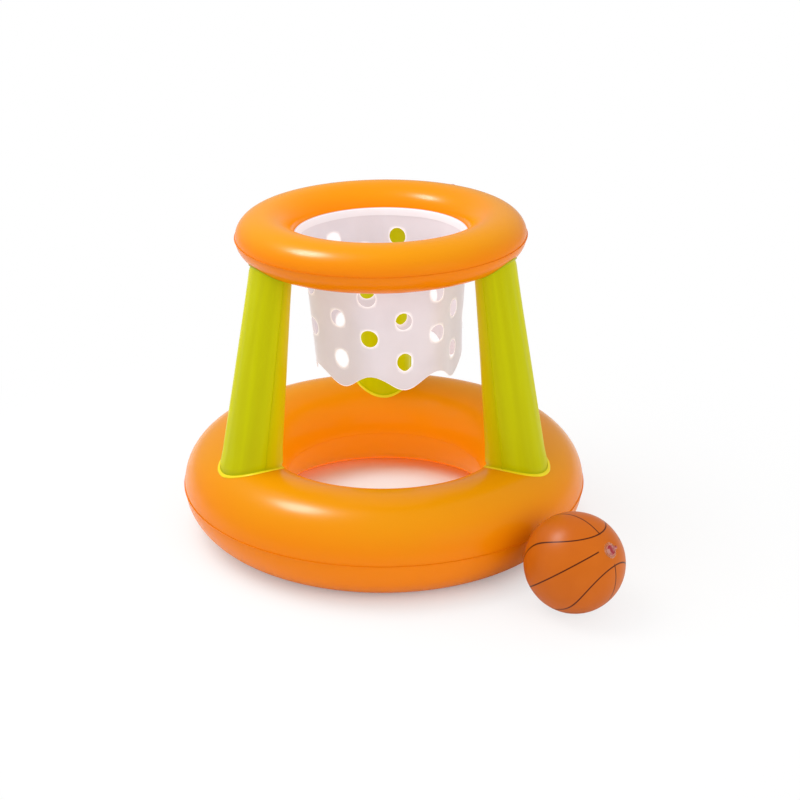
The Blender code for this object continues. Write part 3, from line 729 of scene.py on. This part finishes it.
def valve_disc(is_outside, place):
    """A thin round film that follows a skin round a valve, with a bead at its edge."""
    bm = turned([(radius, 0) for radius in DISC_RADII], 48, closed=False)
    for vert in bm.verts:
        radius = math.hypot(vert.co.x, vert.co.y)
        bead = DISC_BEAD * math.exp(-((radius - DISC_BEAD_R) / DISC_BEAD_WIDTH) ** 2)
        vert.co.z = skin_height(is_outside, place, vert.co.x, vert.co.y) + DISC_LIFT + bead
    bmesh.ops.transform(bm, matrix=place, verts=bm.verts)
    wall(bm)
    return bm


def valve_tube(place):
    """The stem: an open tube with a flange at its mouth and a bead at its inner end."""
    bm = turned([(radius, STEM_SEAT + height) for radius, height in STEM_OUTLINE], 40)
    bmesh.ops.transform(bm, matrix=place, verts=bm.verts)
    return bm


def valve_stopper(place):
    """The plug, with a rounded tab to pull it by."""
    bm = turned([(radius, PLUG_SEAT + height) for radius, height in PLUG_OUTLINE], 40, closed=False)
    tab = bmesh.ops.create_cube(bm, size=1)["verts"]
    bmesh.ops.scale(bm, vec=PLUG_TAB, verts=tab)
    bmesh.ops.translate(bm, vec=PLUG_TAB_PLACE, verts=tab)
    corners = [edge for edge in bm.edges if edge.verts[0] in tab and edge.verts[1] in tab
               and abs(edge.verts[0].co.z - edge.verts[1].co.z) > PLUG_TAB[2] / 2]
    bmesh.ops.bevel(bm, geom=corners, offset=PLUG_TAB_CORNER, offset_type="OFFSET", segments=5, profile=0.5,
                    affect="EDGES", material=-1)
    bmesh.ops.transform(bm, matrix=place, verts=bm.verts)
    return bm


def valve(name, skin, is_outside, place, body="hoop"):
    """An air valve: a hole in the skin, a disc welded over it, a stem and a plug."""
    hole = bmesh.new()
    bmesh.ops.create_cone(hole, cap_ends=True, segments=32, radius1=VALVE_HOLE_R, radius2=VALVE_HOLE_R,
                          depth=VALVE_HOLE_DEPTH, matrix=place)
    cut(skin, hole)
    disc = valve_disc(is_outside, place)
    show(f"{name}_valve_disc", f"{name}_valve_flange", disc, CLEAR, body)
    tube, stopper = valve_tube(place), valve_stopper(place)
    show(f"{name}_valve_tube", f"{name}_valve_stem", tube, TUBE, f"{name}_stem", 50)
    show(f"{name}_valve_stopper", f"{name}_valve_plug", stopper, STOPPER, f"{name}_plug", 50)


def ring_valve(name, ring, skin, azimuth, elevation):
    """A valve on a ring's skin."""
    place = on_ring(ring, math.radians(azimuth), math.radians(elevation))
    valve(name, skin, lambda point: outside(ring, point) > 0, place)


def leg_valve(name, skin, leg_place):
    """A valve low on a leg's inner side."""
    inverse = leg_place.inverted()
    slope = (leg_point(math.pi, LEG_VALVE_Z + 0.01) - leg_point(math.pi, LEG_VALVE_Z - 0.01)).normalized()
    spot = leg_point(math.pi, LEG_VALVE_Z) - Vector((SEAM_LIFT, 0, 0))
    upright = Matrix.Rotation(math.pi / 2, 4, "Z")
    place = leg_place @ frame_on(spot, Vector((-slope.z, 0, slope.x))) @ upright

    def outside_leg(point):
        x, y, z = inverse @ point
        front, flank = leg_point(math.pi, z), leg_point(math.pi / 2, z)
        return ((x + SEAM_LIFT - flank.x) / (front.x - flank.x)) ** 2 + (y / flank.y) ** 2 > 1

    valve(name, skin, outside_leg, place)


def ball_valve(skin):
    """The ball's valve, sunk in its dimple."""
    level = Vector((0, 0, 1)).cross(BALL_VALVE_DIRECTION).normalized()
    spot = BALL_CENTRE + BALL_VALVE_DIRECTION * BALL_R * (1 - BALL_DIMPLE)
    place = frame_on(spot, BALL_VALVE_DIRECTION, level)
    valve("ball", skin, lambda point: (point - BALL_CENTRE).length > BALL_DISC_R, place, "ball")


# The object

# The base ring's film has the painted deep red shade and painted glow at its hole's foot.
ORANGE_BASE = ring_vinyl("orange_film_base", BASE, painted_floor_glow=1.0)
ORANGE_HOOP = ring_vinyl("orange_film_hoop", HOOP, HOOP_LEAN)
LIME = leg_vinyl("lime_film")
# A copy of the lime film with a brighter painted glow, for the back leg.
LIME_PAINTED_BRIGHTER = leg_vinyl("lime_film_painted_brighter", 0.22)
RIM = rim_vinyl("lime_weld_edge")
NET_FILM = net_vinyl("frosted_net_film")
NET_BAND = net_vinyl("frosted_doubled_film", 0.25)
NET_WELD = net_vinyl("frosted_welded_film")
CLEAR = clear_vinyl("clear_valve_film", (212, 138, 92), 0.3)
TUBE = clear_vinyl("clear_valve_tube", (214, 122, 108), 0.7)
STOPPER = clear_vinyl("clear_valve_stopper", (166, 54, 62), 0.78)
BALL_FILM = ball_vinyl("tan_ball_film")

base_upper = ring_skin("base_ring_top_film", "base_ring_upper_skin", BASE, 1, ORANGE_BASE)
ring_skin("base_ring_bottom_film", "base_ring_lower_skin", BASE, -1, ORANGE_BASE, BASE_FLAT)
hoop_upper = ring_skin("hoop_ring_top_film", "hoop_ring_upper_skin", HOOP, 1, ORANGE_HOOP)
ring_skin("hoop_ring_bottom_film", "hoop_ring_lower_skin", HOOP, -1, ORANGE_HOOP)
ring_valve("base_ring", BASE, base_upper, *BASE_VALVE)
ring_valve("hoop_ring", HOOP, hoop_upper, *HOOP_VALVE)

for leg, azimuth in LEG_AZIMUTHS.items():
    leg_place = Matrix.Rotation(math.radians(azimuth), 4, "Z")
    # The back leg gets the lime film with the brighter painted glow.
    film = LIME_PAINTED_BRIGHTER if leg == "back" else LIME
    leg_panel(leg, leg_place, 1, film)
    rear = leg_panel(leg, leg_place, -1, film)
    leg_rim(leg, leg_place, "foot", RIM)
    leg_rim(leg, leg_place, "head", film)
    leg_valve(f"{leg}_leg", rear, leg_place)

net, net_area = net_film(NET_FILM)
band = net_lining("net_collar_band", "net_top_band", NET_BAND, (0, NET_STEPS),
                  (NET_LINING_GAP, NET_COLLAR), NET_STEPS, top_edge=0.4)
weld = NET_STEPS / 2
strip = net_lining("net_weld_strip", "net_seam_strip", NET_WELD, (weld - NET_WELD_HALF, weld + NET_WELD_HALF),
                   (NET_COLLAR + NET_LINING_GAP, NET_LENGTH - NET_SCALLOP), 4)

ball_valve(ball_skin(BALL_FILM))


# Studio

def studio_floor():
    """A white floor.

    The camera sees it plain white far off and partly so in the ring's hole. It keeps the object's shadow.
    """
    bm = bmesh.new()
    bmesh.ops.create_grid(bm, x_segments=1, y_segments=1, size=FLOOR_HALF)
    mesh = bpy.data.meshes.new("floor")
    bm.to_mesh(mesh)
    bm.free()
    floor = bpy.data.objects.new("floor", mesh)
    floor.location = (0, 0, FLOOR_Z)
    bpy.context.scene.collection.objects.link(floor)
    white = Finish("white_floor", Base_Color=(0.9, 0.9, 0.9, 1), Roughness=0.9)
    x, y, _ = white.axes(white.at())
    away = (x * x + y * y) ** 0.5
    plain_in_hole = white.ramp(away, 0.13, 0.2, 0.3, 0)
    plain_far_off = white.ramp(away, 0.22, 0.37, 0, 0.75) + white.ramp(away, 0.37, 1.0, 0, 0.25)
    seen = white.node("ShaderNodeLightPath", out="Is Camera Ray")
    plain = white.node("ShaderNodeEmission", values={"Color": (1, 1, 1, 1), "Strength": 1.0})
    lit = Signal(white, white.shader.outputs[0])
    share = seen * (plain_in_hole + plain_far_off)
    mixed = white.node("ShaderNodeMixShader", values={0: share, 1: lit, 2: plain})
    white.tree.links.new(mixed.socket, white.tree.nodes["Material Output"].inputs["Surface"])
    floor.data.materials.append(white.material)


def studio_world():
    """White surroundings: plain white to the camera, weaker as light and weaker still in the film's gloss."""
    world = bpy.data.worlds.new("studio")
    bpy.context.scene.world = world
    world.use_nodes = True
    nodes, links = world.node_tree.nodes, world.node_tree.links
    path = nodes.new("ShaderNodeLightPath")
    unseen, strength = (nodes.new("ShaderNodeMapRange") for _ in range(2))
    links.new(path.outputs["Is Glossy Ray"], unseen.inputs["Value"])
    unseen.inputs["To Min"].default_value = WORLD_ON_THE_OBJECT
    unseen.inputs["To Max"].default_value = WORLD_IN_GLOSS
    links.new(path.outputs["Is Camera Ray"], strength.inputs["Value"])
    links.new(unseen.outputs[0], strength.inputs["To Min"])
    strength.inputs["To Max"].default_value = WORLD_SEEN
    links.new(strength.outputs[0], nodes["Background"].inputs["Strength"])
    nodes["Background"].inputs["Color"].default_value = (1, 1, 1, 1)


def lamp(name, direction, distance, size, watts, glint=False):
    """A round lamp that lights the object softly, or one that only glints in its gloss."""
    data = bpy.data.lights.new(name, "AREA")
    data.shape, data.size, data.energy = "DISK", size, watts
    made = bpy.data.objects.new(name, data)
    away = Vector(direction).normalized()
    made.location = LAMPS_AIM + away * distance
    made.rotation_euler = away.to_track_quat("Z", "Y").to_euler()
    made.visible_diffuse, made.visible_glossy = not glint, glint
    bpy.context.scene.collection.objects.link(made)


def studio_camera():
    """The photograph's camera."""
    data = bpy.data.cameras.new("camera")
    data.sensor_width, data.lens = CAMERA_SENSOR, CAMERA_LENS
    camera = bpy.data.objects.new("camera", data)
    camera.location = CAMERA_PLACE
    level = math.cos(CAMERA_PITCH)
    ahead = Vector((math.sin(CAMERA_YAW) * level, math.cos(CAMERA_YAW) * level, -math.sin(CAMERA_PITCH)))
    camera.rotation_mode = "QUATERNION"
    camera.rotation_quaternion = ahead.to_track_quat("-Z", "Y")
    bpy.context.scene.collection.objects.link(camera)
    bpy.context.scene.camera = camera


studio_floor()
studio_world()
lamp("soft_box", KEY_DIRECTION, KEY_DISTANCE, size=1.5, watts=21)
lamp("front_fill", (0.85, -1, 0.5), 2.8, size=1.7, watts=17)
lamp("glint", KEY_DIRECTION, KEY_DISTANCE, size=0.58, watts=38, glint=True)
studio_camera()
bpy.context.scene.view_settings.view_transform = "Standard"
